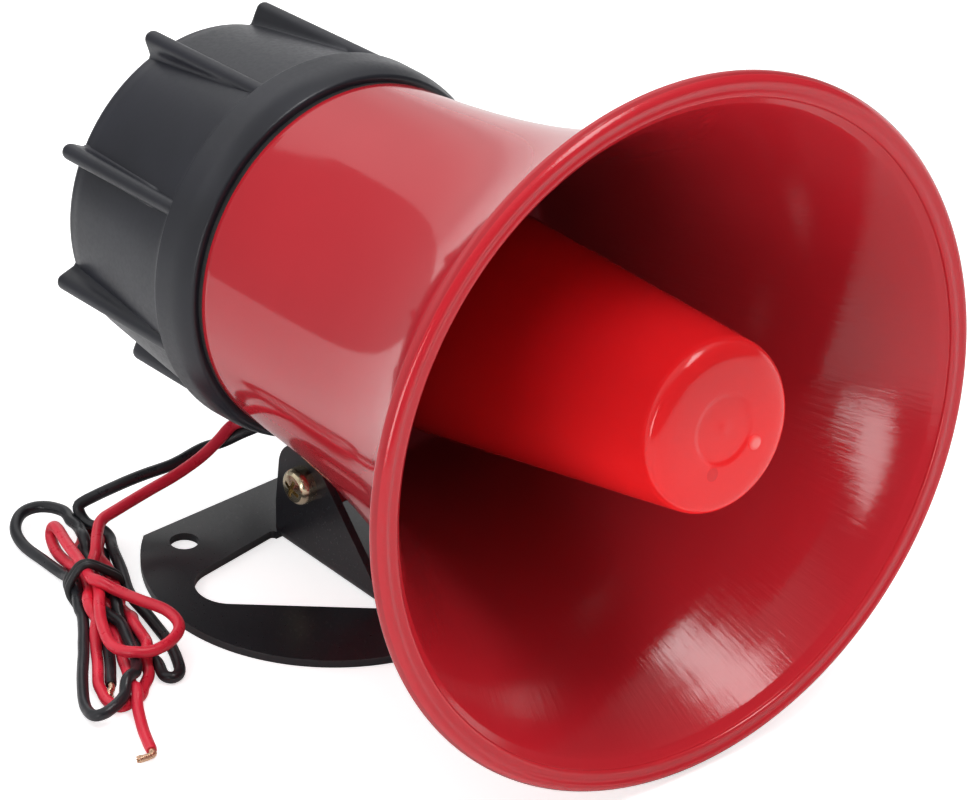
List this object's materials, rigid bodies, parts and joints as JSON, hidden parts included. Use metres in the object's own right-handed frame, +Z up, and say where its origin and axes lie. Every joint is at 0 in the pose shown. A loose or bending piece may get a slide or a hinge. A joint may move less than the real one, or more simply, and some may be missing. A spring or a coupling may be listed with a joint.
{
  "type": "horn alarm siren",
  "caption": "Red horn alarm siren with a central reflector, screw-on ribbed black rear cap, two leads and a round foot bracket with one tilting screw pivot.",
  "frame": {"origin": "centre of the round foot disc, on its underside", "axes": "+Z up from the mounting surface, horn mouth faces -Y and leans up by 5.2 degrees at rest, -X is the side with the screw head and the window in the foot"},
  "size_m": [0.1115, 0.1186, 0.1049],
  "materials": {
    "black_paint": "gloss black paint on steel sheet",
    "yellow_zinc": "yellow zinc plate",
    "red_plastic": "gloss red moulding",
    "red_plastic_inner": "gloss red moulding",
    "red_translucent": "bright red, slightly translucent moulding",
    "black_plastic": "satin",
    "black_cap_plastic": "satin moulded black",
    "bright_zinc": "bright zinc plate",
    "diaphragm_film": "amber film",
    "copper_wire": "enamelled copper",
    "plain_steel": "zinc plated steel",
    "ferrite": "dull fired ferrite",
    "phenolic_board": "brown laminate",
    "blue_wire": "thin wire sleeve",
    "green_board": "green solder mask",
    "component_black": "moulded epoxy",
    "choke_core": "ferrite drum with shrink sleeve",
    "capacitor_sleeve": "printed sleeve left plain",
    "resistor_body": "lacquered",
    "black_rubber": "matt rubber",
    "red_pvc": "soft PVC sleeve",
    "black_pvc": "soft PVC sleeve",
    "tinned_copper": "bare stranded copper",
    "black_tie": "plastic coated wire tie"
  },
  "bodies": {
    "bracket": {"bracket": "black_paint", "pivot_screw": "yellow_zinc", "spring_washer": "yellow_zinc", "flat_washer": "yellow_zinc", "pivot_nut": "yellow_zinc"},
    "horn": {"horn_bell": "red_plastic", "throat_tube": "red_plastic_inner", "reflector_bullet": "red_translucent", "driver_gasket": "black_rubber", "driver_cover": "black_plastic", "driver_screws": "bright_zinc", "diaphragm_ring": "black_plastic", "top_plate": "plain_steel", "ferrite_magnet": "ferrite", "magnet_yoke": "plain_steel", "terminal_strip": "phenolic_board", "driver_leads": "blue_wire", "circuit_board": "green_board", "board_screws": "bright_zinc", "power_transistors": "component_black", "output_choke": "choke_core", "filter_capacitors": "capacitor_sleeve", "tone_chip": "component_black", "resistors": "resistor_body", "cap_gasket": "black_rubber", "back_cap": "black_cap_plastic", "cable_grommet": "black_rubber", "lead_red": "red_pvc", "lead_black": "black_pvc", "lead_cores": "tinned_copper", "bundle_tie": "black_tie"},
    "diaphragm_unit": {"diaphragm": "diaphragm_film", "voice_coil": "copper_wire"}
  },
  "joints": [
    {"name": "horn_tilt", "type": "hinge", "parent": "bracket", "child": "horn", "pos_m": [0.0057, 0.0028, 0.0128], "axis": [-1, 0, 0], "range_deg": [0, 25]},
    {"name": "diaphragm_travel", "type": "slide", "parent": "horn", "child": "diaphragm_unit", "axis": [0, -0.9959, 0.0906], "range_m": [-0.0003, 0.0003], "stiffness_N_per_m": 400}
  ]
}
